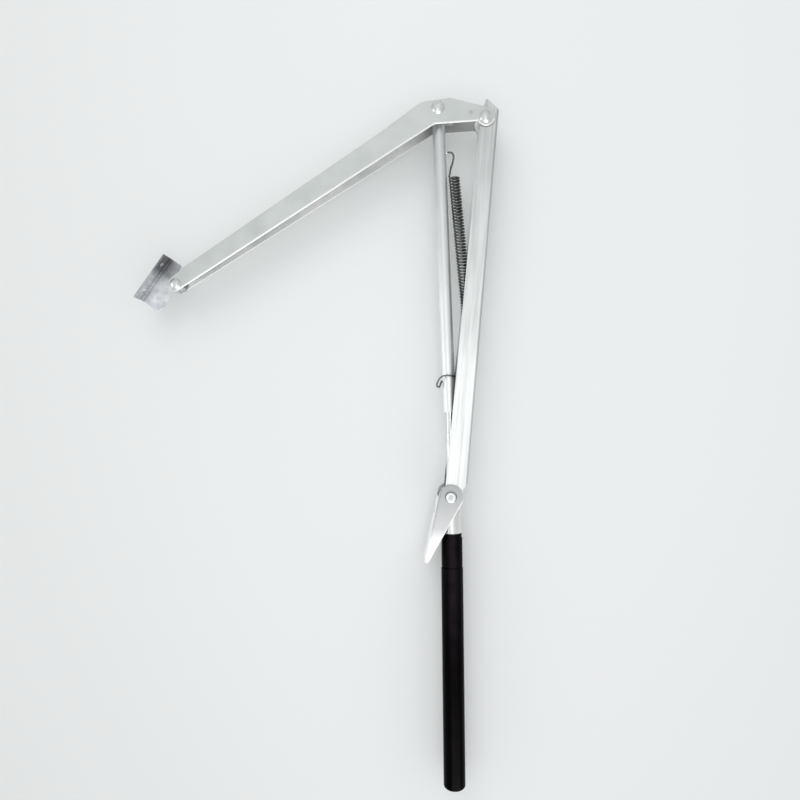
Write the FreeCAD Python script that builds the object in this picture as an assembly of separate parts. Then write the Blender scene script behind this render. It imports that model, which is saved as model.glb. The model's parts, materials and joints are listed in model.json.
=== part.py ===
"""Heat-driven opener for a greenhouse roof vent.

Wax in the lower cylinder swells as the house warms and drives a push tube up against the
short end of a bent lever arm, which swings the window bracket outwards. A coil spring pulls
the tube down again as the wax cools.

Millimetres, +Z up, X to the right in the side view, Y across the arms. Everything is drawn
from the frame pivot and then moved, so that the origin is the middle of the frame bracket's
mounting face.
"""

import FreeCAD, Part
import math
import os
from FreeCAD import Placement, Rotation, Vector

# Sheet metal and fits
SHEET = 1.5                  # thickness of every folded part
FOLD_RADIUS = 2.0            # outside of the folds
SIDE_GAP = 0.5               # between walls that turn inside each other
PIN_PLAY = 0.06              # radial play of a pin in a hole that turns on it
FACE_GAP = 0.3               # between parts that move past each other

# Linkage, in the side view
LOWER_REACH = 326.7          # frame pivot to head pivot
LOWER_LEAN = 5.25            # degrees that this line leans to the right
PUSH_REACH = 41.6            # head pivot to push pin
PUSH_RISE = 10.4             # degrees above level, to the left
UPPER_REACH = 301.8          # head pivot to window pivot
UPPER_DROP = 28.07           # degrees below level, to the left

# Lower arm, a channel that opens to the left
LOWER_HALF_WIDTH = 10.0      # outside
WEB_AT_FOOT = 13.6           # pivot line to the web's outside, at the frame pivot
WEB_AT_HEAD = 10.9           # the same at the head pivot
EDGE_AT_FOOT = 5.3           # pivot line to the walls' free edge, at the frame pivot
EDGE_AT_HEAD = 4.1
LOWER_FOOT_EAR = 8.5         # radius of the round ears about the frame pivot
LOWER_HEAD_EAR = 7.5         # the same about the head pivot
LOWER_FOOT_DROP = 7.0        # frame pivot down to the web's lower end
PEAK_RISE = 16.5             # head pivot up to the peak of the walls
SHOULDER_RISE = 7.4          # head pivot up to the web's upper end
PEAK_SIDE = -0.9             # peak, to the right of the pivot line

# Upper arm, a bent channel that opens downwards
HEAD_RADIUS = 8.0            # round end about the head pivot
HEAD_NECK_AT = 5.2           # head pivot to where the lower edge leaves the round end
HEAD_NECK_DEPTH = 4.9        # depth of that point below the pivot line
HEAD_WEB_START = 33.0        # head pivot to where the web begins
HEAD_TOP = 9.9               # height of the head's top edge above its pivot line, at the web
ELBOW_TOP = 11.9             # height of the bend above the line from push pin to window pivot
ELBOW_TOP_AT = 10.0          # its place along that line
LEG_TOP_AT = 49.8            # where the straight upper edge begins
LEG_TOP = 9.6                # its height there
ELBOW_BOTTOM = 10.2          # depth of the lower edge at the elbow
TIP_WEB_STOP = 14.5          # window pivot back to the web's end
TIP_TOP = 8.05               # height of the upper edge there
TIP_RADIUS = 5.8             # round end about the window pivot
TIP_HALF_WIDTH = 7.5         # outside, where the walls have drawn together
ELBOW_RADIUS = 14.0          # of the upper edge
ELBOW_INNER_RADIUS = 8.0     # of the lower edge

# Frame bracket, two cheeks folded from one plate
CHEEK_HEAD_RADIUS = 10.5
CHEEK_TIP_RADIUS = 1.9
CHEEK_LENGTH = 57.5          # frame pivot to the centre of the lower tip
CHEEK_LEAN = 20.8            # degrees from plumb, to the left
FRAME_PLATE_TOP = 2.0        # plate's upper edge, below the pivot's level along the plate
FRAME_SCREW_RADIUS = 2.25
FRAME_SCREWS_AT = (16.0, 43.0)

# Window bracket, one plate with a single ear
WINDOW_FACE = 21.7           # pivot to the mounting face
WINDOW_LEAN = 35.1           # degrees from plumb
WINDOW_TOP = 15.1            # pivot up to the bracket's top edge
WINDOW_LENGTH = 44.7
WINDOW_EAR_TOP_DEPTH = 13.0
WINDOW_EAR_LOW_DEPTH = 20.4
WINDOW_EAR_LOBE = 7.0
WINDOW_PLATE_NEAR = 11.0     # how far the plate reaches towards the viewer
WINDOW_SCREW_RADIUS = 2.25
WINDOW_SCREWS_AT = (9.0, 36.0)

# Pins and rivets
PIN_RADIUS = 3.0
DOME_RADIUS = 5.65
DOME_HEIGHT = 3.0
WINDOW_PIN_RADIUS = 2.5
WINDOW_DOME_RADIUS = 4.85
WINDOW_DOME_HEIGHT = 2.5
STUB_SHOULDER_RADIUS = 4.45
STUB_PROUD = 0.9             # how far the shoulder stands out of the cheek
STUB_DEPTH = 3.0             # how deep the shank sits in the guide block
SLEEVE_WALL = 1.6
BUSH_RADIUS = 4.0

# Cylinder, rod and guide, on one axis
AXIS_SIDE = 1.3              # axis to the right of the frame pivot
AXIS_LEAN = 0.64             # degrees to the left
ROD_RADIUS = 4.0
ROD_BOTTOM = -60.0           # along the axis, from the pivot's level
BOSS_RADIUS = 8.5
COLLAR_TOP = -32.1
COLLAR_STEP = 3.5            # height of the smaller ring at the collar's top
COLLAR_STEP_RADIUS = 8.5
COLLAR_RADIUS = 9.15
COLLAR_BOTTOM = -61.6
GROOVE = 0.8                 # chamfer on both sides of the joint below the collar
CYLINDER_RADIUS = 9.5
CYLINDER_WALL = 1.5
CYLINDER_BOTTOM = -253.4
CYLINDER_EDGE_RADIUS = 2.5
SPIGOT_RADIUS = 6.0
SPIGOT_LENGTH = 16.0
SEAL_HEIGHT = 5.0
NECK_LENGTH = 7.0            # part of the collar that sits inside the tube
WAX_TOP = -100.0

# Push tube
TUBE_RADIUS = 5.5
TUBE_WALL = 0.9
TUBE_LEAN = 2.246            # degrees to the left
TUBE_FOOT = 72.9             # height of the lower end
TUBE_SHIFT = 0.5             # how far the tube's foot stands to the left of the rod's axis
ROD_ENTRY = 3.0              # how far the rod reaches into the tube
INSERT_LENGTH = 36.0
PAD_GAP = 1.4                # push bush down to the pad, at rest
PAD_THICKNESS = 3.0
PAD_LEFT = 4.7               # pad, to the left of the push pin
PAD_RIGHT = 14.0
PAD_HALF_WIDTH = 7.0
PAD_STEM = 8.0

# Retaining clip
CLIP_HEIGHT = 26.3           # above the tube's foot
CLIP_WIRE_RADIUS = 0.75

# Return spring
SPRING_TOP_DROP = 52.0       # push pin down to the top coil
SPRING_FOOT_RISE = 11.0      # lower post up to the lowest coil
SPRING_FROM_TUBE = 12.0      # tube's centre line to the spring's at the top coil
SPRING_FROM_WEB = 6.7        # web's inside to the spring's centre line at the lowest coil
SPRING_COIL_RADIUS = 3.8
SPRING_WIRE_RADIUS = 0.7
SPRING_PITCH = 2.7
COIL_STEPS = 8               # straight runs in each turn
POST_RADIUS = 1.25
POST_HEAD_RADIUS = 2.3
POST_HEAD_HEIGHT = 0.9
POST_LENGTH = 7.4            # from the wall that carries it to its head
UPPER_POST_DROP = 33.8       # push pin down to the upper post
LOWER_POST_HEIGHT = 129.0    # above the frame pivot

# Worked out from the sizes above
OUTER_HALF = LOWER_HALF_WIDTH + SIDE_GAP + SHEET
FRAME_PIVOT = Vector(0, 0, 0)


class SideAxes:
    """Flat axes in the side view: along a direction, and across to its right."""

    def __init__(self, origin, along):
        self.origin = origin
        self.along = Vector(along).normalize()
        self.across = Vector(self.along.z, 0, -self.along.x)

    def at(self, along, across=0.0, y=0.0):
        """Return the point at the given distances."""
        return self.origin + self.along * along + self.across * across + Vector(0, y, 0)


def polar(origin, reach, degrees):
    """Return the side-view point at a distance and an angle above +X."""
    angle = math.radians(degrees)
    return origin + Vector(reach * math.cos(angle), 0, reach * math.sin(angle))


HEAD_PIVOT = polar(FRAME_PIVOT, LOWER_REACH, 90 - LOWER_LEAN)
PUSH_PIN = polar(HEAD_PIVOT, PUSH_REACH, 180 - PUSH_RISE)
WINDOW_PIVOT = polar(HEAD_PIVOT, UPPER_REACH, 180 + UPPER_DROP)

LOWER_LINE = SideAxes(FRAME_PIVOT, HEAD_PIVOT - FRAME_PIVOT)
HEAD_LINE = SideAxes(HEAD_PIVOT, PUSH_PIN - HEAD_PIVOT)
LEG_LINE = SideAxes(PUSH_PIN, WINDOW_PIVOT - PUSH_PIN)
LEG_LENGTH = (WINDOW_PIVOT - PUSH_PIN).Length
UPPER_POST_HEIGHT = PUSH_PIN.z - UPPER_POST_DROP
SPRING_TOP = PUSH_PIN.z - SPRING_TOP_DROP
SPRING_FOOT = LOWER_POST_HEIGHT + SPRING_FOOT_RISE

LOWER_WEB = SideAxes(LOWER_LINE.at(0, WEB_AT_FOOT),
                     LOWER_LINE.at(LOWER_REACH, WEB_AT_HEAD) - LOWER_LINE.at(0, WEB_AT_FOOT))

CHEEK_TIP = polar(FRAME_PIVOT, CHEEK_LENGTH, 270 - CHEEK_LEAN)
CHEEK_TAPER = math.degrees(math.asin((CHEEK_HEAD_RADIUS - CHEEK_TIP_RADIUS) / CHEEK_LENGTH))
FRAME_PLATE_LEAN = CHEEK_LEAN - CHEEK_TAPER
FRAME_AXES = SideAxes(FRAME_PIVOT, Vector(0, 0, 1))
FRAME_PLATE = SideAxes(FRAME_PIVOT, polar(Vector(), 1, 270 - FRAME_PLATE_LEAN))
FRAME_PLATE_END = math.sqrt(CHEEK_LENGTH ** 2 - (CHEEK_HEAD_RADIUS - CHEEK_TIP_RADIUS) ** 2)
FRAME_FACE = SideAxes(FRAME_PLATE.at(0, CHEEK_HEAD_RADIUS), FRAME_PLATE.along)
WINDOW_PLATE = SideAxes(WINDOW_PIVOT, polar(Vector(), 1, 270 - WINDOW_LEAN))

ORIGIN = FRAME_PLATE.at((FRAME_PLATE_TOP + FRAME_PLATE_END) / 2, CHEEK_HEAD_RADIUS)


def outline(corners):
    """Return a flat face through (point, radius) corners, each rounded by its radius."""
    ends = []
    for index, (point, radius) in enumerate(corners):
        back = (corners[index - 1][0] - point).normalize()
        ahead = (corners[(index + 1) % len(corners)][0] - point).normalize()
        half = back.getAngle(ahead) / 2
        setback = radius / math.tan(half)
        middle = (back + ahead).normalize() * (radius / math.sin(half) - radius)
        ends.append((point + back * setback, point + middle, point + ahead * setback, radius))
    edges = []
    for index, (start, middle, end, radius) in enumerate(ends):
        if radius > 0:
            edges.append(Part.Arc(start, middle, end).toShape())
        following = ends[(index + 1) % len(ends)][0]
        if end.distanceToPoint(following) > 1e-6:
            edges.append(Part.makeLine(end, following))
    return Part.Face(Part.Wire(edges))


def sheet(corners, y_from, y_to):
    """Return the solid of a rounded outline between two planes across the arms."""
    face = outline(corners)
    face.translate(Vector(0, y_from, 0))
    return face.extrude(Vector(0, y_to - y_from, 0))


def block(axes, along, across, half_width):
    """Return a square block between two distances along and across some axes."""
    corners = [(axes.at(along[0], across[0]), 0), (axes.at(along[1], across[0]), 0),
               (axes.at(along[1], across[1]), 0), (axes.at(along[0], across[1]), 0)]
    return sheet(corners, -half_width, half_width)


def pin(centre, radius, y_from, y_to):
    """Return a round bar across the arms."""
    return Part.makeCylinder(radius, y_to - y_from, centre + Vector(0, y_from, 0), Vector(0, 1, 0))


def dome(centre, radius, height, y_face, side):
    """Return a domed rivet head that stands on a wall; side is -1 near and +1 far."""
    ball_radius = (radius ** 2 + height ** 2) / (2 * height)
    ball = Part.makeSphere(ball_radius, centre + Vector(0, y_face + side * (height - ball_radius), 0))
    low, high = sorted((y_face, y_face + side * height))
    return ball.common(pin(centre, radius * 1.2, low, high))


def rivet(centre, radius, head_radius, head_height, half_width):
    """Return a rivet through the arms with a dome on each side."""
    body = pin(centre, radius, -half_width, half_width)
    for side in (-1, 1):
        body = body.fuse(dome(centre, head_radius, head_height, side * half_width, side))
    return body.removeSplitter()


def sleeve(centre, bore, outer, y_from, y_to):
    """Return a spacer tube across the arms."""
    return pin(centre, outer, y_from, y_to).cut(pin(centre, bore, y_from, y_to))


def turned(profile):
    """Return a solid turned about the Z axis from (radius, height) points."""
    points = [Vector(radius, 0, height) for radius, height in profile]
    face = Part.Face(Part.makePolygon(points + points[:1]))
    return face.revolve(Vector(), Vector(0, 0, 1), 360)


def on_axis(shape):
    """Move a shape that was turned about Z onto the leaning axis of rod and cylinder."""
    shape.Placement = Placement(Vector(AXIS_SIDE, 0, 0), Rotation(Vector(0, 1, 0), -AXIS_LEAN))
    return shape


def on_tube(shape):
    """Move a shape drawn from the push tube's foot along Z onto the tube."""
    shape.Placement = Placement(tube_point(0), Rotation(Vector(0, 1, 0), -TUBE_LEAN))
    return shape


def tube_point(height):
    """Return the point of the push tube's centre line at a height above its foot."""
    tilt = math.tan(math.radians(TUBE_LEAN))
    axis_tilt = math.tan(math.radians(AXIS_LEAN))
    foot_side = AXIS_SIDE - TUBE_FOOT * axis_tilt - TUBE_SHIFT
    return Vector(foot_side - height * tilt, 0, TUBE_FOOT + height)


def bent_wire(points, radius):
    """Return six-sided wire along straight runs, mitred at each bend."""
    ring = Part.Circle(points[0], points[1] - points[0], radius)
    section = [ring.value(math.radians(angle)) for angle in range(0, 360, 60)]
    return Part.makePolygon(points).makePipeShell(
        [Part.makePolygon(section + section[:1])], True, False, 1)


def fold_edges(body, axes, across, side):
    """Return the edges that run along some axes at a distance across and a place sideways."""
    found = []
    for edge in body.Edges:
        offset = edge.CenterOfMass - axes.origin
        if (abs(offset.dot(axes.across) - across) < SHEET / 10 and abs(offset.y - side) < SHEET / 10
                and edge.BoundBox.YLength < SHEET / 10):
            found.append(edge)
    return found


def folded_bar(web, half_width, radius, reach):
    """Return a solid bar with two rounded long edges, whose web face lies on the given line."""
    depth = 4 * half_width
    corners = [(web.at(-reach, -depth, -half_width), 0), (web.at(-reach, -depth, half_width), 0),
               (web.at(-reach, 0, half_width), radius), (web.at(-reach, 0, -half_width), radius)]
    return outline(corners).extrude(web.along * (2 * reach))


def channel(blank, web, half_width, reach):
    """Fold a solid blank into a channel: rounded outer edges, sheet-thick walls and web."""
    inside = SideAxes(web.at(0, -SHEET), web.along)
    folded = blank.common(folded_bar(web, half_width, FOLD_RADIUS, reach))
    return folded.cut(folded_bar(inside, half_width - SHEET, FOLD_RADIUS - SHEET, reach))


def lower_arm():
    """Fold the lower arm: web on the right, walls towards the left, ears at both pivots."""
    half = LOWER_HALF_WIDTH
    blank = sheet([
        (LOWER_LINE.at(-LOWER_FOOT_DROP, -EDGE_AT_FOOT), 4),
        (LOWER_LINE.at(LOWER_REACH + SHOULDER_RISE / 2, -EDGE_AT_HEAD), 0),
        (LOWER_LINE.at(LOWER_REACH + PEAK_RISE, PEAK_SIDE), 1.5),
        (LOWER_LINE.at(LOWER_REACH + SHOULDER_RISE, WEB_AT_HEAD), 2),
        (LOWER_LINE.at(-LOWER_FOOT_DROP, WEB_AT_FOOT), 3)], -half, half)
    for pivot, radius in ((FRAME_PIVOT, LOWER_FOOT_EAR), (HEAD_PIVOT, LOWER_HEAD_EAR)):
        blank = blank.fuse(pin(pivot, radius, -half, half))
    arm = channel(blank, LOWER_WEB, half, 2 * LOWER_REACH)
    arm = arm.cut(pin(FRAME_PIVOT, PIN_RADIUS, -half, half))
    arm = arm.cut(pin(HEAD_PIVOT, PIN_RADIUS + PIN_PLAY, -half, half))
    return arm.removeSplitter()


def upper_plan(inset):
    """Return the plan form of the upper arm: full width at the head, drawn in at the tip."""
    wide = OUTER_HALF - inset
    narrow = TIP_HALF_WIDTH - inset
    stations = ((-2 * PUSH_REACH, wide), (LEG_TOP_AT, wide),
                (LEG_LENGTH - TIP_WEB_STOP, narrow), (LEG_LENGTH + 3 * TIP_RADIUS, narrow))
    near = [LEG_LINE.at(along, -3 * PUSH_REACH, -half) for along, half in stations]
    far = [LEG_LINE.at(along, -3 * PUSH_REACH, half) for along, half in reversed(stations)]
    face = Part.Face(Part.makePolygon(near + far + near[:1]))
    return face.extrude(LEG_LINE.across * (6 * PUSH_REACH))


def upper_arm():
    """Fold the upper arm: a head from pivot to push pin, a bend and a tapering leg."""
    tip = LEG_LENGTH + TIP_RADIUS
    corners = [
        (HEAD_LINE.at(HEAD_NECK_AT, -HEAD_NECK_DEPTH), 0),
        (HEAD_LINE.at(0, 0), 0),
        (HEAD_LINE.at(0, HEAD_RADIUS), 0),
        (HEAD_LINE.at(HEAD_WEB_START, HEAD_TOP), 0),
        (LEG_LINE.at(ELBOW_TOP_AT, ELBOW_TOP), ELBOW_RADIUS),
        (LEG_LINE.at(LEG_TOP_AT, LEG_TOP), 0),
        (LEG_LINE.at(LEG_LENGTH - TIP_WEB_STOP, TIP_TOP), 0),
        (LEG_LINE.at(tip, TIP_RADIUS), TIP_RADIUS - 1),
        (LEG_LINE.at(tip, -TIP_RADIUS), TIP_RADIUS - 1),
        (LEG_LINE.at(ELBOW_TOP_AT, -ELBOW_BOTTOM), ELBOW_INNER_RADIUS)]
    whole = sheet(corners, -OUTER_HALF, OUTER_HALF)
    whole = whole.fuse(pin(HEAD_PIVOT, HEAD_RADIUS, -OUTER_HALF, OUTER_HALF))
    half_bend = math.radians((PUSH_RISE + math.degrees(LEG_LINE.along.getAngle(Vector(-1, 0, 0)))) / 2)
    inward = (HEAD_LINE.across + LEG_LINE.across).normalize() * -(SHEET / math.cos(half_bend))
    hollow = whole.copy()
    hollow.translate(inward)
    clear = 3 * HEAD_RADIUS
    hollow = hollow.fuse(block(HEAD_LINE, (-clear, HEAD_WEB_START), (-clear, clear), OUTER_HALF))
    hollow = hollow.fuse(block(LEG_LINE, (LEG_LENGTH - TIP_WEB_STOP, tip + clear), (-clear, clear),
                               OUTER_HALF))
    arm = whole.common(upper_plan(0)).cut(hollow.common(upper_plan(SHEET))).removeSplitter()
    for centre, radius in ((HEAD_PIVOT, PIN_RADIUS), (PUSH_PIN, PIN_RADIUS),
                           (WINDOW_PIVOT, WINDOW_PIN_RADIUS)):
        arm = arm.cut(pin(centre, radius, -OUTER_HALF, OUTER_HALF))
    return arm.removeSplitter()


def frame_bracket():
    """Fold the frame bracket: two tapered cheeks and a mounting plate along their left edge."""
    axes = FRAME_PLATE
    slope = math.radians(CHEEK_LEAN + CHEEK_TAPER)
    right = Vector(math.cos(slope), 0, -math.sin(slope))
    body = pin(FRAME_PIVOT, CHEEK_HEAD_RADIUS, -OUTER_HALF, OUTER_HALF)
    body = body.fuse(pin(CHEEK_TIP, CHEEK_TIP_RADIUS, -OUTER_HALF, OUTER_HALF))
    body = body.fuse(sheet([
        (axes.at(0, CHEEK_HEAD_RADIUS), 0), (axes.at(FRAME_PLATE_END, CHEEK_HEAD_RADIUS), 0),
        (CHEEK_TIP, 0), (CHEEK_TIP + right * CHEEK_TIP_RADIUS, 0),
        (right * CHEEK_HEAD_RADIUS, 0), (FRAME_PIVOT, 0)], -OUTER_HALF, OUTER_HALF))
    body = channel(body, FRAME_FACE, OUTER_HALF, 2 * CHEEK_LENGTH)
    body = body.cut(block(FRAME_FACE, (-CHEEK_LENGTH, FRAME_PLATE_TOP), (-CHEEK_LENGTH, SHEET),
                          OUTER_HALF - SHEET))
    body = body.cut(pin(FRAME_PIVOT, STUB_SHOULDER_RADIUS + PIN_PLAY, -OUTER_HALF, OUTER_HALF))
    for along in FRAME_SCREWS_AT:
        hole = axes.at(along, CHEEK_HEAD_RADIUS - 2 * SHEET)
        body = body.cut(Part.makeCylinder(FRAME_SCREW_RADIUS, 3 * SHEET, hole, axes.across))
    return body.removeSplitter()


def pivot_stub(side):
    """Return a shouldered stub: shank in the guide block, shoulder in the bracket's cheek."""
    inner_end = LOWER_HALF_WIDTH - SHEET - STUB_DEPTH
    low, high = sorted((side * inner_end, side * LOWER_HALF_WIDTH))
    stub = pin(FRAME_PIVOT, PIN_RADIUS, low, high)
    low, high = sorted((side * LOWER_HALF_WIDTH, side * (OUTER_HALF + STUB_PROUD)))
    shoulder = pin(FRAME_PIVOT, STUB_SHOULDER_RADIUS, low, high)
    rim = max(shoulder.Edges, key=lambda edge: side * edge.CenterOfMass.y)
    return stub.fuse(shoulder.makeFillet(STUB_PROUD * 0.9, [rim])).removeSplitter()


def guide_block():
    """Return the guide: a round block between the walls, a boss and a spigot for the collar."""
    width = LOWER_HALF_WIDTH - SHEET
    boss = on_axis(turned([(0, COLLAR_TOP + FACE_GAP - SPIGOT_LENGTH),
                           (SPIGOT_RADIUS, COLLAR_TOP + FACE_GAP - SPIGOT_LENGTH),
                           (SPIGOT_RADIUS, COLLAR_TOP + FACE_GAP),
                           (BOSS_RADIUS, COLLAR_TOP + FACE_GAP),
                           (BOSS_RADIUS, 0), (0, 0)]))
    boss = boss.common(block(FRAME_AXES, (-LOWER_REACH, LOWER_REACH), (-LOWER_REACH, LOWER_REACH), width))
    body = pin(FRAME_PIVOT, LOWER_FOOT_EAR, -width, width).fuse(boss)
    bore = on_axis(turned([(0, -LOWER_REACH), (ROD_RADIUS + PIN_PLAY, -LOWER_REACH),
                           (ROD_RADIUS + PIN_PLAY, LOWER_REACH), (0, LOWER_REACH)]))
    body = body.cut(bore)
    body = body.cut(pin(FRAME_PIVOT, PIN_RADIUS, -width, -width + STUB_DEPTH))
    body = body.cut(pin(FRAME_PIVOT, PIN_RADIUS, width - STUB_DEPTH, width))
    return body.removeSplitter()


def cylinder_collar():
    """Turn the collar: stepped top, bore for the guide's spigot, seal seat and neck."""
    spigot_seat = COLLAR_TOP - SPIGOT_LENGTH
    seal_seat = spigot_seat - SEAL_HEIGHT
    bore = SPIGOT_RADIUS + PIN_PLAY
    neck = CYLINDER_RADIUS - CYLINDER_WALL
    return on_axis(turned([
        (bore, COLLAR_TOP), (COLLAR_STEP_RADIUS, COLLAR_TOP),
        (COLLAR_STEP_RADIUS, COLLAR_TOP - COLLAR_STEP),
        (COLLAR_RADIUS, COLLAR_TOP - COLLAR_STEP - (COLLAR_RADIUS - COLLAR_STEP_RADIUS)),
        (COLLAR_RADIUS, COLLAR_BOTTOM + GROOVE), (COLLAR_RADIUS - GROOVE, COLLAR_BOTTOM),
        (neck, COLLAR_BOTTOM), (neck, COLLAR_BOTTOM - NECK_LENGTH),
        (ROD_RADIUS + FACE_GAP, COLLAR_BOTTOM - NECK_LENGTH),
        (ROD_RADIUS + FACE_GAP, seal_seat), (bore, seal_seat)]))


def rod_seal():
    """Return the ring that seals the rod, seated in the collar below the spigot."""
    seal_seat = COLLAR_TOP - SPIGOT_LENGTH - SEAL_HEIGHT
    inner = ROD_RADIUS + PIN_PLAY
    outer = SPIGOT_RADIUS + PIN_PLAY
    top = seal_seat + SEAL_HEIGHT - 2 * FACE_GAP
    return on_axis(turned([(inner, seal_seat), (outer, seal_seat), (outer, top), (inner, top)]))


def cylinder_tube():
    """Turn the closed tube that holds the wax, with a rounded bottom edge."""
    inner = CYLINDER_RADIUS - CYLINDER_WALL
    floor = CYLINDER_BOTTOM + 2 * CYLINDER_WALL
    tube = turned([
        (0, CYLINDER_BOTTOM), (CYLINDER_RADIUS, CYLINDER_BOTTOM),
        (CYLINDER_RADIUS, COLLAR_BOTTOM - GROOVE), (CYLINDER_RADIUS - GROOVE, COLLAR_BOTTOM),
        (inner, COLLAR_BOTTOM), (inner, floor), (0, floor)])
    rim = min(tube.Edges, key=lambda edge: edge.BoundBox.ZMax + edge.BoundBox.ZMin
              - edge.BoundBox.XLength)
    return on_axis(tube.makeFillet(CYLINDER_EDGE_RADIUS, [rim]))


def wax_charge():
    """Return the wax inside the cylinder."""
    inner = CYLINDER_RADIUS - CYLINDER_WALL
    floor = CYLINDER_BOTTOM + 2 * CYLINDER_WALL
    return on_axis(turned([(0, floor), (inner, floor), (inner, WAX_TOP), (0, WAX_TOP)]))


def piston_rod():
    """Return the rod that the wax drives up through the guide."""
    top = TUBE_FOOT + ROD_ENTRY
    return on_axis(turned([(0, ROD_BOTTOM), (ROD_RADIUS - 1, ROD_BOTTOM), (ROD_RADIUS, ROD_BOTTOM + 1),
                           (ROD_RADIUS, top), (0, top)]))


def pad_top():
    """Return the height of the pad that lifts the push bush."""
    return PUSH_PIN.z - BUSH_RADIUS - PAD_GAP


def push_tube():
    """Return the push tube, cut level under the pad and drilled for clip and spring post."""
    length = pad_top() - PAD_THICKNESS - TUBE_FOOT
    inner = TUBE_RADIUS - TUBE_WALL
    tube = on_tube(turned([(inner, 0), (TUBE_RADIUS, 0), (TUBE_RADIUS, length * 1.1),
                           (inner, length * 1.1)]))
    above = block(FRAME_AXES, (pad_top() - PAD_THICKNESS, 2 * LOWER_REACH),
                  (-LOWER_REACH, LOWER_REACH), OUTER_HALF)
    return tube.cut(above).cut(clip_bore()).cut(upper_post_bar()).removeSplitter()


def clip_bore():
    """Return the hole for the clip's straight leg."""
    start = tube_point(CLIP_HEIGHT) - Vector(2 * TUBE_RADIUS, 0, 0)
    return Part.makeCylinder(CLIP_WIRE_RADIUS + PIN_PLAY, 4 * TUBE_RADIUS, start, Vector(1, 0, 0))


def tube_insert():
    """Return the plug in the tube's foot that stands on the rod."""
    plug = on_tube(turned([(0, 0), (TUBE_RADIUS - TUBE_WALL, 0),
                           (TUBE_RADIUS - TUBE_WALL, INSERT_LENGTH), (0, INSERT_LENGTH)]))
    rod_end = on_axis(turned([(0, 0), (2 * ROD_RADIUS, 0), (2 * ROD_RADIUS, TUBE_FOOT + ROD_ENTRY),
                              (0, TUBE_FOOT + ROD_ENTRY)]))
    return plug.cut(rod_end).cut(clip_bore())


def push_pad():
    """Return the pad on the tube's top, with a stem inside the tube."""
    top = pad_top()
    middle = PUSH_PIN.x + (PAD_RIGHT - PAD_LEFT) / 2
    length = PAD_LEFT + PAD_RIGHT
    plate = Part.makeBox(length, 2 * PAD_HALF_WIDTH, PAD_THICKNESS,
                         Vector(middle - length / 2, -PAD_HALF_WIDTH, top - PAD_THICKNESS))
    plate = plate.makeFillet(3, [edge for edge in plate.Edges if edge.BoundBox.ZLength > 2])
    reach = top - TUBE_FOOT - PAD_THICKNESS / 2
    stem = on_tube(turned([(0, reach - PAD_STEM - PAD_THICKNESS), (TUBE_RADIUS - TUBE_WALL, reach - PAD_STEM
                           - PAD_THICKNESS), (TUBE_RADIUS - TUBE_WALL, reach), (0, reach)]))
    return plate.fuse(stem).removeSplitter()


def retaining_clip():
    """Bend the wire clip: a leg through the tube, an eye on the left, a bow round the front."""
    centre = tube_point(CLIP_HEIGHT)
    turn = TUBE_RADIUS + CLIP_WIRE_RADIUS + FACE_GAP
    loop = 2.6
    eye = Vector(-turn - loop - 0.4, 0, 0)
    points = [Vector(turn, 0, 0), Vector(0, 0, 0), Vector(-turn - 0.6, 0, 0)]
    points += [eye + Vector(loop * math.cos(a), 0, loop * math.sin(a))
               for a in (math.radians(d) for d in (310, 260, 210, 160, 110))]
    points += [Vector(-turn - 1.2, -1.6, 3.0), Vector(-turn * 0.75, -turn * 0.75, 3.9),
               Vector(0, -turn - 0.1, 4.4), Vector(turn * 0.75, -turn * 0.75, 4.2),
               Vector(turn + 0.2, -0.6, 3.4)]
    return bent_wire([centre + point for point in points], CLIP_WIRE_RADIUS)


def upper_post_bar():
    """Return the plain bar of the spring post, from inside the tube's wall."""
    seat = tube_point(UPPER_POST_HEIGHT - TUBE_FOOT) + Vector(TUBE_RADIUS - TUBE_WALL, 0, 0)
    return Part.makeCylinder(POST_RADIUS, TUBE_WALL + POST_LENGTH, seat, Vector(1, 0, 0))


def spring_post():
    """Return the post on the push tube that carries the spring's upper hook."""
    end = tube_point(UPPER_POST_HEIGHT - TUBE_FOOT) + Vector(TUBE_RADIUS + POST_LENGTH, 0, 0)
    head = Part.makeCylinder(POST_HEAD_RADIUS, POST_HEAD_HEIGHT, end, Vector(1, 0, 0))
    return upper_post_bar().fuse(head).removeSplitter()


def web_inside(height):
    """Return how far right the inside of the lower arm's web lies at a height."""
    share = height / LOWER_LINE.at(LOWER_REACH).z
    side = WEB_AT_FOOT + (WEB_AT_HEAD - WEB_AT_FOOT) * share - SHEET
    return LOWER_LINE.at(height / LOWER_LINE.along.z).x + side / LOWER_LINE.along.z


def spring_anchor():
    """Return the post on the lower arm's web that holds the spring's lower hook."""
    seat = web_inside(LOWER_POST_HEIGHT)
    start = Vector(seat - POST_LENGTH, 0, LOWER_POST_HEIGHT)
    bar = Part.makeCylinder(POST_RADIUS, POST_LENGTH + SHEET / 2, start, Vector(1, 0, 0))
    head = Part.makeCylinder(POST_HEAD_RADIUS, POST_HEAD_HEIGHT,
                             start - Vector(POST_HEAD_HEIGHT, 0, 0), Vector(1, 0, 0))
    return bar.cut(lower_arm()).fuse(head).removeSplitter()


def spring_axis(share):
    """Return a point of the spring's centre line, from 0 at the lowest coil to 1 at the top."""
    foot = Vector(web_inside(SPRING_FOOT) - SPRING_FROM_WEB, 0, SPRING_FOOT)
    top = Vector(tube_point(SPRING_TOP - TUBE_FOOT).x + SPRING_FROM_TUBE, 0, SPRING_TOP)
    return foot + (top - foot) * share


def spring_hook(side, height, up):
    """Return the bends of a hook round a post; up is +1 above the post and -1 below it."""
    over = POST_RADIUS + SPRING_WIRE_RADIUS + 0.1
    bends = ((-1.45, -3.0), (-1.2, -0.75), (-0.75, 0.75), (0, 1), (0.75, 0.75), (1.2, -0.75), (1.2, -4.0))
    return [Vector(side, across * over, height + up * rise * over) for across, rise in bends]


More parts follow.
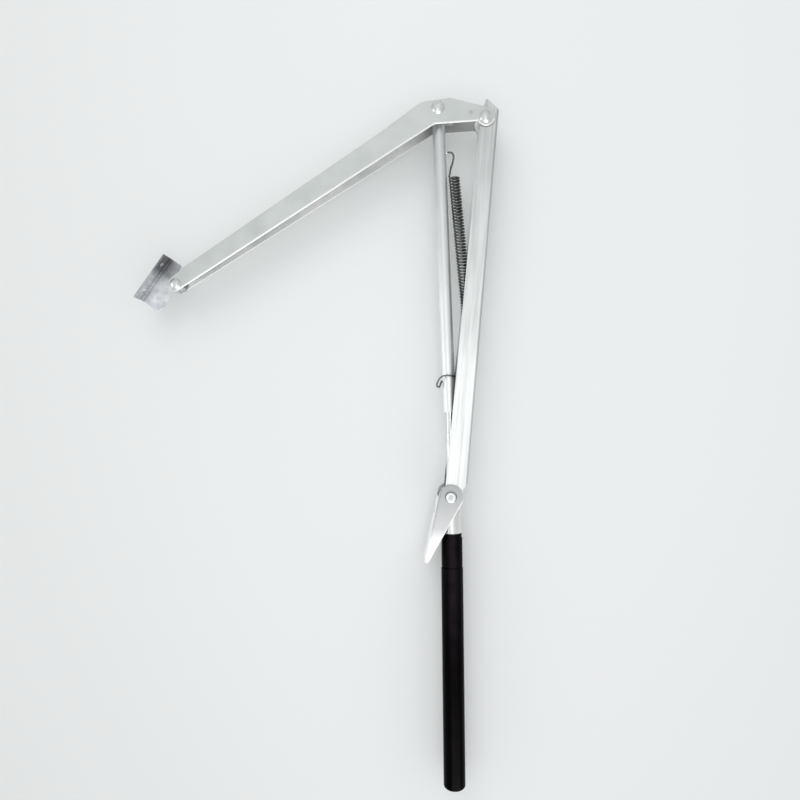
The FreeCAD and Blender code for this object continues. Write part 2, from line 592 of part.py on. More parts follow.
def return_spring():
    """Wind the return spring: close coils and a long hook at each end."""
    turns = round((SPRING_TOP - SPRING_FOOT) / SPRING_PITCH)
    steps = turns * COIL_STEPS
    coil = []
    for step in range(steps + 1):
        angle = 2 * math.pi * step / COIL_STEPS - math.pi / 2
        ring = Vector(math.cos(angle), math.sin(angle), 0) * SPRING_COIL_RADIUS
        coil.append(spring_axis(step / steps) + ring)
    upper_side = tube_point(UPPER_POST_HEIGHT - TUBE_FOOT).x + TUBE_RADIUS + POST_LENGTH / 2
    lower_side = web_inside(LOWER_POST_HEIGHT) - POST_LENGTH / 2
    upper = spring_hook(upper_side, UPPER_POST_HEIGHT, 1)
    lower = spring_hook(lower_side, LOWER_POST_HEIGHT, -1)
    return bent_wire(lower[::-1] + coil + upper, SPRING_WIRE_RADIUS)


def window_bracket():
    """Fold the window bracket: a plate for two screws and one ear on the far side."""
    axes = WINDOW_PLATE
    far = TIP_HALF_WIDTH - SHEET - FACE_GAP
    bottom = WINDOW_LENGTH - WINDOW_TOP
    face = WINDOW_FACE
    lobe = WINDOW_EAR_LOBE
    ear = sheet([
        (axes.at(-WINDOW_TOP, face), 0),
        (axes.at(-WINDOW_TOP, face - WINDOW_EAR_TOP_DEPTH), 2),
        (axes.at(-lobe * 0.6, face - WINDOW_EAR_TOP_DEPTH), 0),
        (axes.at(lobe * 0.6, face - WINDOW_EAR_LOW_DEPTH), 0),
        (axes.at(bottom, face - WINDOW_EAR_LOW_DEPTH), 6),
        (axes.at(bottom, face), 0)], far - SHEET, far)
    ear = ear.fuse(pin(WINDOW_PIVOT, lobe, far - SHEET, far))
    plate = sheet([(axes.at(-WINDOW_TOP, face), 0), (axes.at(bottom, face), 0),
                   (axes.at(bottom, face - SHEET), 0), (axes.at(-WINDOW_TOP, face - SHEET), 0)],
                  -WINDOW_PLATE_NEAR, far)
    body = ear.fuse(plate).removeSplitter()
    body = body.makeFillet(FOLD_RADIUS, fold_edges(body, axes, face, far))
    body = body.makeFillet(FOLD_RADIUS - SHEET, fold_edges(body, axes, face - SHEET, far - SHEET))
    body = body.cut(pin(WINDOW_PIVOT, WINDOW_PIN_RADIUS + PIN_PLAY, -OUTER_HALF, OUTER_HALF))
    middle = (far - SHEET - WINDOW_PLATE_NEAR) / 2
    for along in WINDOW_SCREWS_AT:
        hole = axes.at(along - WINDOW_TOP, face - 2 * SHEET, middle)
        body = body.cut(Part.makeCylinder(WINDOW_SCREW_RADIUS, 3 * SHEET, hole, axes.across))
    return body.removeSplitter()


def main():
    """Build every piece, move it to the origin and write it as a STEP file."""
    upper_inner = OUTER_HALF - SHEET
    tip_inner = TIP_HALF_WIDTH - SHEET
    lower_inner = LOWER_HALF_WIDTH - SHEET
    ear_near = tip_inner - FACE_GAP - SHEET
    pieces = {
        "frame_bracket": frame_bracket(),
        "lower_arm": lower_arm(),
        "pivot_stub_near": pivot_stub(-1),
        "pivot_stub_far": pivot_stub(1),
        "guide_block": guide_block(),
        "spring_anchor": spring_anchor(),
        "cylinder_collar": cylinder_collar(),
        "cylinder_tube": cylinder_tube(),
        "rod_seal": rod_seal(),
        "wax_charge": wax_charge(),
        "piston_rod": piston_rod(),
        "push_tube": push_tube(),
        "tube_insert": tube_insert(),
        "push_pad": push_pad(),
        "spring_post": spring_post(),
        "retaining_clip": retaining_clip(),
        "return_spring": return_spring(),
        "upper_arm": upper_arm(),
        "head_pin": rivet(HEAD_PIVOT, PIN_RADIUS, DOME_RADIUS, DOME_HEIGHT, OUTER_HALF),
        "head_spacer": sleeve(HEAD_PIVOT, PIN_RADIUS, PIN_RADIUS + SLEEVE_WALL,
                              FACE_GAP - lower_inner, lower_inner - FACE_GAP),
        "push_pin": rivet(PUSH_PIN, PIN_RADIUS, DOME_RADIUS, DOME_HEIGHT, OUTER_HALF),
        "push_bush": sleeve(PUSH_PIN, PIN_RADIUS, BUSH_RADIUS, -upper_inner, upper_inner),
        "window_pin": rivet(WINDOW_PIVOT, WINDOW_PIN_RADIUS, WINDOW_DOME_RADIUS,
                            WINDOW_DOME_HEIGHT, TIP_HALF_WIDTH),
        "window_spacer": sleeve(WINDOW_PIVOT, WINDOW_PIN_RADIUS, WINDOW_PIN_RADIUS + SLEEVE_WALL,
                                -tip_inner, ear_near - FACE_GAP),
        "window_bracket": window_bracket(),
    }
    os.makedirs("parts", exist_ok=True)
    for name, shape in pieces.items():
        shape.translate(-ORIGIN)
        shape.exportStep(os.path.join("parts", name + ".step"))
        print(name, shape.isValid(), len(shape.Solids), round(shape.Volume, 1))


main()
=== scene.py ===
"""Dresses a greenhouse vent opener for a plain studio picture.

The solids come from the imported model. This script rounds their edges, winds the spring, bends
the clip from round wire, sets a small ring in the tube, gives every piece its finish, and sets
up paper, light and camera as in the photograph. Lengths are in metres, except where a docstring
says millimetres. X points right in the picture, Y away from the viewer and Z up.
"""

import json
import logging
import math
from dataclasses import dataclass, field
from enum import Enum
from functools import partial
from typing import Any, Callable, Dict, List, Optional, Sequence, Tuple

import bpy
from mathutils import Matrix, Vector


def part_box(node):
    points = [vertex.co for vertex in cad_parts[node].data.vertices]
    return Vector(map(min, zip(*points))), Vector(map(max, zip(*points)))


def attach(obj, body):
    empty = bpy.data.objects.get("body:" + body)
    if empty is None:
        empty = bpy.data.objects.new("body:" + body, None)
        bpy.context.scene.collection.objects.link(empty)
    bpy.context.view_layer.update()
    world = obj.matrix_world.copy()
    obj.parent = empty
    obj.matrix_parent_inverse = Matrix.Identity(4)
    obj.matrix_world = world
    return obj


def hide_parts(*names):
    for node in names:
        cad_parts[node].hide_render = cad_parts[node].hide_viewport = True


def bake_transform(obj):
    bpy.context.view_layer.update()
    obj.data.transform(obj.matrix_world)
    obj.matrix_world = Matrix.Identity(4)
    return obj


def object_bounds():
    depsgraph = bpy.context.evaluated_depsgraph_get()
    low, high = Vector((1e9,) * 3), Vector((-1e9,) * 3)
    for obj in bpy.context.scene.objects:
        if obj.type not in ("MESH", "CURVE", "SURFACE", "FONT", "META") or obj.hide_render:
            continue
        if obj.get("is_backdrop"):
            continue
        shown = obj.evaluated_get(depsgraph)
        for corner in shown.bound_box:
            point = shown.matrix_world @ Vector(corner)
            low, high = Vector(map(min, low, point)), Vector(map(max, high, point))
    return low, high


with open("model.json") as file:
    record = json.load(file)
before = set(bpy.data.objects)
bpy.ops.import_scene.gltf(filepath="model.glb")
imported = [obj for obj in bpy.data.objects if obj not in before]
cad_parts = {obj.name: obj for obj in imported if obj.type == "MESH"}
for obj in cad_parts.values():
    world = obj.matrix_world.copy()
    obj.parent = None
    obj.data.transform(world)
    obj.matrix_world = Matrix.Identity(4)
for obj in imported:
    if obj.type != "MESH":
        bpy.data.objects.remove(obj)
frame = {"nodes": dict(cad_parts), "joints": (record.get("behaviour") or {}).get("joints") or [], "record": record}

Socket = bpy.types.NodeSocket
Pair = Tuple[float, float]
Triple = Tuple[float, float, float]
Colour = Tuple[float, float, float]
log = logging.getLogger("vent_opener")

MM = 0.001
FRAME_PIVOT = "frame_pivot"

# Mesh work
MERGE_DISTANCE = MM / 500
FLAT_ANGLE = math.radians(0.3)
EDGE_ANGLE = math.radians(32.0)
WIRE_ANGLE = math.radians(50.0)
RING_ANGLE = math.radians(40.0)
EDGE_SEGMENTS = 2
NORMAL_WEIGHT = 80
BEND_STEPS = 5

# Patterns in the finishes
CLOUD_RAMP = (0.3, 0.7)
CLOUD_DETAIL = 4.0
STREAK_RAMP = (0.35, 0.6)
STREAK_DETAIL = 3.0
STREAK_HEIGHT = MM / 4
GRAIN_DETAIL = 2.0
GRAIN_HEIGHT = MM / 2
# Painted shade in inner corners that the piece shades itself
CORNER_SHADE_RAMP = (0.35, 0.85)
CORNER_SHADE_REACH = 9 * MM


class Slot(Enum):
    """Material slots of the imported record."""

    ZINC_STEEL = "zinc_steel"
    RIVET_STEEL = "rivet_steel"
    GUIDE_ZINC = "guide_zinc"
    ROD_STEEL = "rod_steel"
    SPRING_STEEL = "spring_steel"
    BLACK_ENAMEL = "black_enamel"
    SEAL_RUBBER = "seal_rubber"
    WAX = "wax"


class Role(Enum):
    """What a lamp is for: light and reflections, light alone, or reflections alone."""

    BOTH = "both"
    LIGHT = "light"
    MIRRORED = "mirrored"


class Look(Enum):
    """The finishes that pieces are given."""

    ZINC = "plated_steel"
    MARKED_ZINC = "marked_plated_steel"
    BRUSHED_ZINC = "brushed_plated_steel"
    CHEEK_ZINC = "shaded_plated_steel"
    # The window plate, with painted shade.
    DULL_ZINC = "plate_steel_painted_shade"
    TUBE_ZINC = "tube_plated_steel"
    RIVET = "rivet_steel"
    RINGED_RIVET = "ringed_rivet_steel"
    GUIDE = "guide_zinc"
    ROD = "rod_steel"
    SPRING = "spring_steel"
    ENAMEL = "black_enamel"
    RUBBER = "seal_rubber"
    WAX = "wax"


def joint_place(name: str) -> Vector:
    """Find a hinge's centre.

    Args:
        name: The joint's name.

    Returns:
        Its centre in metres.

    Raises:
        KeyError: If the frame has no such joint.
    """
    for entry in frame["joints"]:
        if entry["name"] == name:
            return Vector(entry["pos_m"])
    raise KeyError(name)


class NodeGraph:
    """A material's node tree, built socket by socket.

    Attributes:
        material: The material.
        tree: Its node tree.
        output: Its output node.
    """

    def __init__(self, name: str) -> None:
        """Start an empty material.

        Args:
            name: The material's name.
        """
        self.material = bpy.data.materials.new(name)
        self.material.use_nodes = True
        self.tree = self.material.node_tree
        self.tree.nodes.clear()
        self.output = self.tree.nodes.new("ShaderNodeOutputMaterial")

    def add(self, kind: str, values: Optional[Dict[str, Any]] = None,
            **settings: Any) -> bpy.types.Node:
        """Add a node.

        Args:
            kind: The node's type.
            values: Fixed values of its inputs, by their names.
            settings: The node's own settings.

        Returns:
            The node.
        """
        node = self.tree.nodes.new(kind)
        for name, value in settings.items():
            setattr(node, name, value)
        for name, value in (values or {}).items():
            node.inputs[name].default_value = value
        return node

    def join(self, source: Socket, target: Socket) -> None:
        """Link two nodes.

        Args:
            source: An output socket.
            target: An input socket.
        """
        self.tree.links.new(source, target)

    def coordinates(self) -> Socket:
        """Give the piece's own coordinates.

        Returns:
            A vector socket, in metres.
        """
        return self.add("ShaderNodeTexCoord").outputs["Object"]

    def noise(self, scale: Triple, detail: float, turn: float = 0.0) -> Socket:
        """Make cloudy noise in the piece's own coordinates.

        Args:
            scale: Clouds per metre along each axis.
            detail: Number of finer layers.
            turn: Angle of the pattern about the axis across the arms, in radians.

        Returns:
            The factor socket.
        """
        mapping = self.add("ShaderNodeMapping", {
            "Rotation": (0.0, turn, 0.0),
            "Scale": tuple(1.0 / value for value in scale)}, vector_type="TEXTURE")
        self.join(self.coordinates(), mapping.inputs["Vector"])
        node = self.add("ShaderNodeTexNoise", {"Scale": 1.0, "Detail": detail})
        self.join(mapping.outputs["Vector"], node.inputs["Vector"])
        return node.outputs["Fac"]

    def spread(self, factor: Socket, low: float, high: float, start: float = CLOUD_RAMP[0],
               stop: float = CLOUD_RAMP[1]) -> Socket:
        """Map a factor onto a range.

        Args:
            factor: The socket to map.
            low: Result at the start.
            high: Result at the stop.
            start: Factor that gives the low result.
            stop: Factor that gives the high result.

        Returns:
            The mapped socket.
        """
        node = self.add("ShaderNodeMapRange", {
            "From Min": start, "From Max": stop, "To Min": low, "To Max": high})
        self.join(factor, node.inputs["Value"])
        return node.outputs["Result"]

    def blend(self, factor: Socket, first: Any, second: Any) -> Socket:
        """Blend two colours.

        Args:
            factor: 0 for the first, 1 for the second.
            first: The first colour, or its socket.
            second: The second colour, or its socket.

        Returns:
            The colour socket.
        """
        node = self.add("ShaderNodeMix", data_type="RGBA")
        ends = [socket for socket in node.inputs if socket.type == "RGBA"]
        for socket, value in zip(ends, (first, second)):
            if isinstance(value, tuple):
                socket.default_value = (*value, 1.0)
            else:
                self.join(value, socket)
        self.join(factor, node.inputs[0])
        return [socket for socket in node.outputs if socket.type == "RGBA"][0]

    def measure(self, operation: str, fixed: Triple) -> Socket:
        """Measure the piece's own coordinates against a fixed vector.

        Args:
            operation: DOT_PRODUCT for a height along it, DISTANCE for the distance from it.
            fixed: The vector.

        Returns:
            The value socket.
        """
        node = self.add("ShaderNodeVectorMath", operation=operation)
        node.inputs[1].default_value = fixed
        self.join(self.coordinates(), node.inputs[0])
        return node.outputs["Value"]

    def combined(self, operation: str, factors: Sequence[Socket]) -> Socket:
        """Combine factors one after the other.

        Args:
            operation: MINIMUM where all have to hold, MAXIMUM where one is enough, or ADD.
            factors: The sockets.

        Returns:
            The combined socket.
        """
        result = factors[0]
        for factor in factors[1:]:
            node = self.add("ShaderNodeMath", operation=operation)
            self.join(result, node.inputs[0])
            self.join(factor, node.inputs[1])
            result = node.outputs["Value"]
        return result


@dataclass(frozen=True)
class ShadeFade:
    """Painted shade: a slow change of tone across a piece, in place of how light falls on it.

    Attributes:
        along: Direction in which heights are measured.
        start: Height where the tone is full. It stays so on the side away from the stop.
        stop: Height where the colour is as it was, and stays so beyond.
        tone: Factor on the colour where the tone is full.
    """

    along: Triple
    start: float
    stop: float
    tone: float


@dataclass(frozen=True)
class Mark:
    """A small darker spot.

    Attributes:
        centre: Its centre.
        inner: Radius of its dark middle.
        outer: Radius of its ragged rim.
        tone: Factor on the colour in the middle.
    """

    centre: Triple
    inner: float
    outer: float
    tone: float


@dataclass(frozen=True)
class EdgeHighlight:
    """A painted highlight along a cut edge.

    Attributes:
        fixed: Direction in which heights are measured, or the centre of a round rim.
        start: Height or distance where it begins.
        stop: Height or distance from which it is at its brightest.
        is_round: Whether it runs round a centre.
    """

    fixed: Triple
    start: float
    stop: float
    is_round: bool = False


@dataclass(frozen=True)
class InnerLight:
    """Painted light on the inner faces of a channel, found by how much the piece itself shades them: a paler, less
    metallic colour with painted shade of its own.

    Attributes:
        colour: Their paler colour, painted light.
        metallic: How metallic they are.
        fade: Their own painted shade, as a change of tone.
        start: Openness up to which a face counts as inner.
        stop: Openness from which it counts as outer.
        reach: How far away a face still shades another.
    """

    colour: Colour
    metallic: float
    fade: ShadeFade
    start: float = 0.70
    stop: float = 0.95
    reach: float = 30 * MM


@dataclass(frozen=True)
class Finish:
    """A surface finish: colour clouds, uneven gloss, fine grain and brushed streaks, with painted shade, painted
    light on inner faces and painted highlights on cut edges where they are given.

    Attributes:
        look: Which finish it is.
        light: Colour of the light clouds.
        dark: Colour of the dark clouds.
        metallic: How metallic it is.
        roughness: Least and most roughness.
        cloud: Clouds per metre.
        grain: Grains per metre.
        grain_depth: Strength of the grain's relief.
        streak_depth: Strength of the streaks' relief.
        streak_turn: Angle of the streaks about the axis across the arms, in radians.
        streak_tone: Factor on the colour in the streaks.
        specular: Strength of the reflections of a finish that isn't metallic.
        shade_fades: Painted shade, as slow changes of tone.
        marks: Small darker spots.
        corner_shade: Factor on the colour in inner corners, where the piece shades itself: painted shade.
        edge_highlights: Groups of painted highlights on cut edges. An edge shows where every rim of a group holds.
        inner_light: Painted light on the inner faces, where they differ.
    """

    look: Look
    light: Colour
    dark: Colour
    metallic: float
    roughness: Pair
    cloud: float = 60.0
    grain: float = 1800.0
    grain_depth: float = 0.02
    streak_depth: float = 0.0
    streak_turn: float = 0.0
    streak_tone: float = 1.0
    specular: float = 0.5
    shade_fades: Tuple[ShadeFade, ...] = ()
    marks: Tuple[Mark, ...] = ()
    corner_shade: float = 1.0
    edge_highlights: Tuple[Tuple[EdgeHighlight, ...], ...] = ()
    inner_light: Optional[InnerLight] = None

    def toned(self, graph: NodeGraph, colour: Socket, factor: Socket) -> Socket:
        """Darken a colour by a factor.

        Args:
            graph: The material's graph.
            colour: The colour socket.
            factor: The factor socket.

        Returns:
            The darker colour's socket.
        """
        scale = graph.add("ShaderNodeVectorMath", operation="SCALE")
        graph.join(colour, scale.inputs[0])
        graph.join(factor, scale.inputs["Scale"])
        return scale.outputs["Vector"]

    def shade_faded(self, graph: NodeGraph, colour: Socket, fade: ShadeFade) -> Socket:
        """Paint shade across the piece, as a change of tone.

        Args:
            graph: The material's graph.
            colour: The colour socket.
            fade: Direction, limits and tone of the painted shade.

        Returns:
            The shaded colour's socket.
        """
        height = graph.measure("DOT_PRODUCT", fade.along)
        factor = graph.spread(height, fade.tone, 1.0, fade.start, fade.stop)
        return self.toned(graph, colour, factor)

    def marked(self, graph: NodeGraph, colour: Socket, mark: Mark) -> Socket:
        """Darken a small spot, with a ragged rim.

        Args:
            graph: The material's graph.
            colour: The colour socket.
            mark: Place, size and tone of the spot.

        Returns:
            The marked colour's socket.
        """
        noise = graph.noise((self.grain / 2,) * 3, GRAIN_DETAIL)
        ragged = graph.combined("ADD", [
            graph.measure("DISTANCE", mark.centre),
            graph.spread(noise, -mark.inner / 2, mark.inner / 2)])
        factor = graph.spread(ragged, mark.tone, 1.0, mark.inner, mark.outer)
        return self.toned(graph, colour, factor)

    def highlighted(self, graph: NodeGraph, colour: Socket) -> Socket:
        """Paint highlights on the cut edges. An edge shows where every rim of its group holds.

        Args:
            graph: The material's graph.
            colour: The colour socket.

        Returns:
            The colour socket with painted highlights on the edges.
        """
        edges = []
        for group in self.edge_highlights:
            factors = []
            for rim in group:
                operation = "DISTANCE" if rim.is_round else "DOT_PRODUCT"
                place = graph.measure(operation, rim.fixed)
                factors.append(graph.spread(place, 0.0, 1.0, rim.start, rim.stop))
            edges.append(graph.combined("MINIMUM", factors))
        return graph.blend(graph.combined("MAXIMUM", edges), colour, EDGE_HIGHLIGHT)

    def with_inner_light(self, graph: NodeGraph, colour: Socket, clouds: Socket,
              shader: bpy.types.Node) -> Socket:
        """Paint light on the inner faces that the piece shades: a paler colour with its own painted shade, and
        less metal.

        Args:
            graph: The material's graph.
            colour: The outer faces' colour socket.
            clouds: The cloud factor.
            shader: The shader that the material uses.

        Returns:
            The colour socket for all faces.
        """
        inner_light = self.inner_light
        # Painted light: the faces that the piece itself shades get a paler, less metallic colour.
        shade = graph.add("ShaderNodeAmbientOcclusion", {"Distance": inner_light.reach}, only_local=True)
        inside = graph.spread(shade.outputs["AO"], 1.0, 0.0, inner_light.start, inner_light.stop)
        lit_inside = graph.blend(graph.spread(clouds, 0.0, 1.0), self.light, inner_light.colour)
        metallic = graph.spread(inside, self.metallic, inner_light.metallic, 0.0, 1.0)
        graph.join(metallic, shader.inputs["Metallic"])
        return graph.blend(inside, colour, self.shade_faded(graph, lit_inside, inner_light.fade))

    def coloured(self, graph: NodeGraph, clouds: Socket) -> Socket:
        """Lay down clouds, streaks, painted shade in corners and as slow fades, marks and painted highlights on
        cut edges.

        Args:
            graph: The material's graph.
            clouds: The cloud factor.

        Returns:
            The colour socket.
        """
        colour = graph.blend(graph.spread(clouds, 0.0, 1.0), self.dark, self.light)
        if self.streak_tone < 1:
            wide = graph.noise((self.grain / 3, self.grain / 3, self.cloud / 3), GRAIN_DETAIL,
                               self.streak_turn)
            factor = graph.spread(wide, self.streak_tone, 1.0, *STREAK_RAMP)
            colour = self.toned(graph, colour, factor)
        # Painted shade: darken the inner corners that the piece shades itself.
        if self.corner_shade < 1:
            corners = graph.add("ShaderNodeAmbientOcclusion", {"Distance": CORNER_SHADE_REACH})
            factor = graph.spread(corners.outputs["AO"], self.corner_shade, 1.0, *CORNER_SHADE_RAMP)
            colour = self.toned(graph, colour, factor)
        # Painted shade, as slow changes of tone.
        for fade in self.shade_fades:
            colour = self.shade_faded(graph, colour, fade)
        for mark in self.marks:
            colour = self.marked(graph, colour, mark)
        # Painted highlights on the cut edges.
        return self.highlighted(graph, colour) if self.edge_highlights else colour

    def raised(self, graph: NodeGraph, height: Socket, strength: float, depth: float,
               below: Optional[Socket] = None) -> Socket:
        """Raise a fine relief, on top of another where there is one.

        Args:
            graph: The material's graph.
            height: The relief's height factor.
            strength: How strongly it shows.
            depth: Its depth.
            below: The normal of the relief below it.

        Returns:
            The normal socket.
        """
        bump = graph.add("ShaderNodeBump", {"Strength": strength, "Distance": depth})
        graph.join(height, bump.inputs["Height"])
        if below is not None:
            graph.join(below, bump.inputs["Normal"])
        return bump.outputs["Normal"]

    def material(self) -> bpy.types.Material:
        """Build the finish's material.

        Returns:
            The material.
        """
        graph = NodeGraph(self.look.value)
        shader = graph.add("ShaderNodeBsdfPrincipled", {
            "Metallic": self.metallic, "Specular IOR Level": self.specular})
        clouds = graph.noise((self.cloud,) * 3, CLOUD_DETAIL)
        streaks = graph.noise((self.grain, self.grain, self.cloud / 2), STREAK_DETAIL,
                              self.streak_turn)
        grain = graph.noise((self.grain,) * 3, GRAIN_DETAIL)
        colour = self.coloured(graph, clouds)
        if self.inner_light:
            colour = self.with_inner_light(graph, colour, clouds, shader)
        relief = self.raised(graph, grain, self.grain_depth, GRAIN_HEIGHT)
        if self.streak_depth > 0:
            relief = self.raised(graph, streaks, self.streak_depth, STREAK_HEIGHT, relief)
        graph.join(colour, shader.inputs["Base Color"])
        graph.join(graph.spread(streaks, *self.roughness), shader.inputs["Roughness"])
        graph.join(relief, shader.inputs["Normal"])
        graph.join(shader.outputs["BSDF"], graph.output.inputs["Surface"])
        return graph.material


# Colours, directions and places that the finishes share
ZINC_LIGHT = (0.88, 0.90, 0.88)
ZINC_DARK = (0.76, 0.79, 0.77)
# Colour of the painted highlights on cut edges.
EDGE_HIGHLIGHT = (1.0, 1.0, 0.99)
LEG_TURN = math.radians(-61.9)
ARM_TURN = math.radians(5.3)
UP = (0.0, 0.0, 1.0)
DOWN = (0.0, 0.0, -1.0)
LEFT = (-1.0, 0.0, 0.0)
BELOW_LEG = (0.5390, 0.0, -0.8423)
BELOW_HEAD = (0.0700, 0.0, -0.9976)
RIGHT_OF_ARM = (0.9965, 0.0, -0.0833)
RIGHT_OF_CHEEK = (0.8712, 0.0, -0.4909)
LEFT_OF_CHEEK = (-0.9774, 0.0, 0.2113)
ALONG_PLATE = (-0.57, 0.0, -0.82)
ACROSS_PLATE = (0.82, 0.0, -0.57)
RIGHT_OF_CYLINDER = (1.0, 0.0, 0.011)
LEFT_OF_CYLINDER = (-1.0, 0.0, -0.011)
HEAD_PIVOT = (0.04637, -0.012, 0.35187)
WORN_SPOT = (0.0336, -0.012, 0.3552)
NEAR_SHOULDER = (0.01648, -0.0129, 0.02654)

FINISHES: Tuple[Finish, ...] = (
    Finish(Look.ZINC, ZINC_LIGHT, ZINC_DARK, metallic=0.90, roughness=(0.28, 0.40), cloud=45.0,
           grain=1500.0, grain_depth=0.03, streak_depth=0.02, streak_turn=LEG_TURN),
    # The upper arm: a darker copy of the plated steel (painted shade), painted highlights on its lower cut edges,
    # and painted light on its inner faces with painted shade toward the right, near the tube. Its mark is a small
    # scratch.
    Finish(Look.MARKED_ZINC, (0.70, 0.73, 0.71), (0.60, 0.63, 0.61), metallic=0.80,
           roughness=(0.36, 0.48), cloud=45.0, grain=1500.0, grain_depth=0.03,
           streak_depth=0.02, streak_turn=LEG_TURN,
           marks=(Mark(WORN_SPOT, 0.0006, 0.0026, 0.80),),
           edge_highlights=((EdgeHighlight(BELOW_LEG, -0.2908, -0.2903),
                  EdgeHighlight(BELOW_HEAD, -0.3457, -0.3452),
                  EdgeHighlight(HEAD_PIVOT, 0.0068, 0.0072, is_round=True)),),
           inner_light=InnerLight((0.99, 0.98, 0.97), 0.0, ShadeFade(LEFT, 0.002, 0.014, 0.50))),
    # The lower arm: painted shade in its inner corners, on a strip along the web's fold on the right and toward
    # the top, and painted light on its inner faces, with painted shade low down in the gap beside the tube. Its
    # streaks are brushing.
    Finish(Look.BRUSHED_ZINC, (0.88, 0.90, 0.89), (0.82, 0.84, 0.83), metallic=0.90,
           roughness=(0.28, 0.42), cloud=40.0, grain=1200.0, grain_depth=0.03,
           streak_depth=0.05, streak_turn=ARM_TURN, streak_tone=0.82, corner_shade=0.40,
           shade_fades=(ShadeFade(RIGHT_OF_ARM, 0.0278, 0.0255, 0.66), ShadeFade(DOWN, -0.345, -0.210, 0.80)),
           inner_light=InnerLight((0.97, 0.98, 0.97), 0.10, ShadeFade(UP, 0.120, 0.160, 0.15))),
    # The frame bracket: a lighter copy of the plated steel (painted light), painted shade that darkens it toward
    # the top, and painted highlights on its right and left cut edges.
    Finish(Look.CHEEK_ZINC, (0.97, 0.98, 0.98), (0.92, 0.94, 0.94), metallic=0.95,
           roughness=(0.32, 0.44), cloud=45.0, grain=1500.0, grain_depth=0.03,
           streak_depth=0.02,
           shade_fades=(ShadeFade(DOWN, -0.034, 0.0, 0.70), ShadeFade(DOWN, 0.0, 0.012, 0.62)),
           edge_highlights=((EdgeHighlight(RIGHT_OF_CHEEK, 0.0111, 0.0115),),
                 (EdgeHighlight(LEFT_OF_CHEEK, -0.0004, -0.0001),))),
    # The window plate: painted shade darkens it toward its upper end, under the arm's tip, and on the folded strip
    # on the left.
    Finish(Look.DULL_ZINC, (0.90, 0.93, 0.95), (0.62, 0.63, 0.66), metallic=1.0,
           roughness=(0.22, 0.40), cloud=160.0, grain=1500.0, grain_depth=0.05,
           streak_depth=0.02,
           shade_fades=(ShadeFade(ALONG_PLATE, -0.048, -0.040, 0.50),
                  ShadeFade(ACROSS_PLATE, -0.3187, -0.3168, 0.62))),
    # The long tube: a lighter copy of the plated steel (painted light), darkened toward the top (painted shade),
    # so that it is lightest low down, where a highlight falls.
    Finish(Look.TUBE_ZINC, (0.97, 0.98, 0.98), (0.90, 0.92, 0.92), metallic=0.80,
           roughness=(0.34, 0.46), cloud=45.0, grain=1500.0, grain_depth=0.03,
           streak_depth=0.02, shade_fades=(ShadeFade(DOWN, -0.345, -0.150, 0.74),)),
    Finish(Look.RIVET, (0.84, 0.86, 0.84), (0.62, 0.64, 0.62), metallic=1.0,
           roughness=(0.28, 0.40), cloud=300.0),
    # Its mark darkens the middle of the rivet's head.
    Finish(Look.RINGED_RIVET, (0.80, 0.82, 0.82), (0.70, 0.72, 0.72), metallic=1.0,
           roughness=(0.28, 0.40), cloud=300.0,
           marks=(Mark(NEAR_SHOULDER, 0.0016, 0.0030, 0.70),)),
    Finish(Look.GUIDE, (0.86, 0.86, 0.84), (0.72, 0.73, 0.71), metallic=1.0,
           roughness=(0.30, 0.42), cloud=200.0),
    Finish(Look.ROD, (0.86, 0.87, 0.87), (0.74, 0.76, 0.76), metallic=1.0,
           roughness=(0.16, 0.26), cloud=200.0),
    Finish(Look.SPRING, (0.20, 0.21, 0.20), (0.07, 0.075, 0.07), metallic=1.0,
           roughness=(0.22, 0.34), cloud=400.0),
    # Painted shade: the cylinder is darkened on both sides and low down, which leaves a painted highlight as a
    # lighter band down its middle.
    Finish(Look.ENAMEL, (0.022, 0.015, 0.020), (0.010, 0.007, 0.010), metallic=0.0,
           roughness=(0.22, 0.30), cloud=80.0, grain=1200.0, specular=0.025,
           shade_fades=(ShadeFade(RIGHT_OF_CYLINDER, 0.0130, 0.0165, 0.15),
                  ShadeFade(LEFT_OF_CYLINDER, -0.0225, -0.0195, 0.30),
                  ShadeFade(UP, -0.120, -0.060, 0.25))),
    Finish(Look.RUBBER, (0.030, 0.030, 0.030), (0.018, 0.018, 0.018), metallic=0.0,
           roughness=(0.60, 0.80), cloud=200.0),
    Finish(Look.WAX, (0.80, 0.74, 0.55), (0.70, 0.64, 0.46), metallic=0.0,
           roughness=(0.45, 0.60), cloud=90.0),
)
LOOK_OF_SLOT: Dict[Slot, Look] = {
    Slot.ZINC_STEEL: Look.ZINC,
    Slot.RIVET_STEEL: Look.RIVET,
    Slot.GUIDE_ZINC: Look.GUIDE,
    Slot.ROD_STEEL: Look.ROD,
    Slot.SPRING_STEEL: Look.SPRING,
    Slot.BLACK_ENAMEL: Look.ENAMEL,
    Slot.SEAL_RUBBER: Look.RUBBER,
    Slot.WAX: Look.WAX,
}
LOOK_OF_PIECE: Dict[str, Look] = {
    "near_shoulder_rivet": Look.RINGED_RIVET,
    "wire_clip": Look.SPRING,
    "upper_channel": Look.MARKED_ZINC,
    "lower_channel": Look.BRUSHED_ZINC,
    "sill_bracket": Look.CHEEK_ZINC,
    "window_plate": Look.DULL_ZINC,
    "long_tube": Look.TUBE_ZINC,
}


def select_only(piece: bpy.types.Object) -> None:
    """Make a piece the only selected and the active object.

    Args:
        piece: The piece.
    """
    bpy.ops.object.select_all(action="DESELECT")
    piece.select_set(True)
    bpy.context.view_layer.objects.active = piece


def edit_mesh(piece: bpy.types.Object, *steps: Callable[[], Any]) -> None:
    """Run mesh operators on the whole of a piece.

    Args:
        piece: The piece.
        steps: The operators, with their settings bound.
    """
    select_only(piece)
    bpy.ops.object.mode_set(mode="EDIT")
    bpy.ops.mesh.select_all(action="SELECT")
    for step in steps:
        step()
    bpy.ops.object.mode_set(mode="OBJECT")


